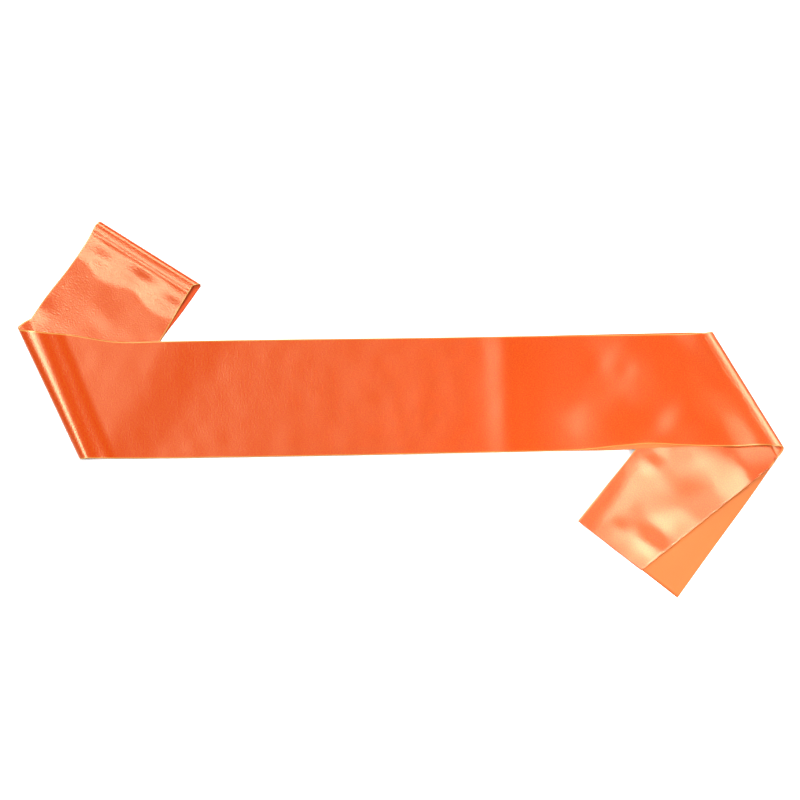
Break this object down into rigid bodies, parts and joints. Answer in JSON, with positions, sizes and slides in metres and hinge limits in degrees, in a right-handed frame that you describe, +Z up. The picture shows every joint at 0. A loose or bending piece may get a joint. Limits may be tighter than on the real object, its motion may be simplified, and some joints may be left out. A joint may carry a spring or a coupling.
{
  "type": "satin sash",
  "caption": "Long satin sash doubled and laid flat, with a looped end turned back at the left and both cut ends turned back at the right.",
  "frame": {"origin": "middle of the folded sash's outline, at the surface it lies on", "axes": "+X along the main panel towards the end with the cut ends, +Y across it towards the looped end, +Z up from the surface"},
  "size_m": [0.6526, 0.3306, 0.011],
  "materials": {
    "satin_face": "glossy orange satin face with a lengthwise sheen",
    "satin_back": "matt, slightly paler back of the same orange satin"
  },
  "bodies": {
    "root": {"main_panel_top": "satin_face", "main_panel_under": "satin_face", "left_flap_lower": "satin_back", "left_flap_upper": "satin_face", "right_tail_lower": "satin_back", "right_tail_upper": "satin_face"}
  },
  "joints": []
}
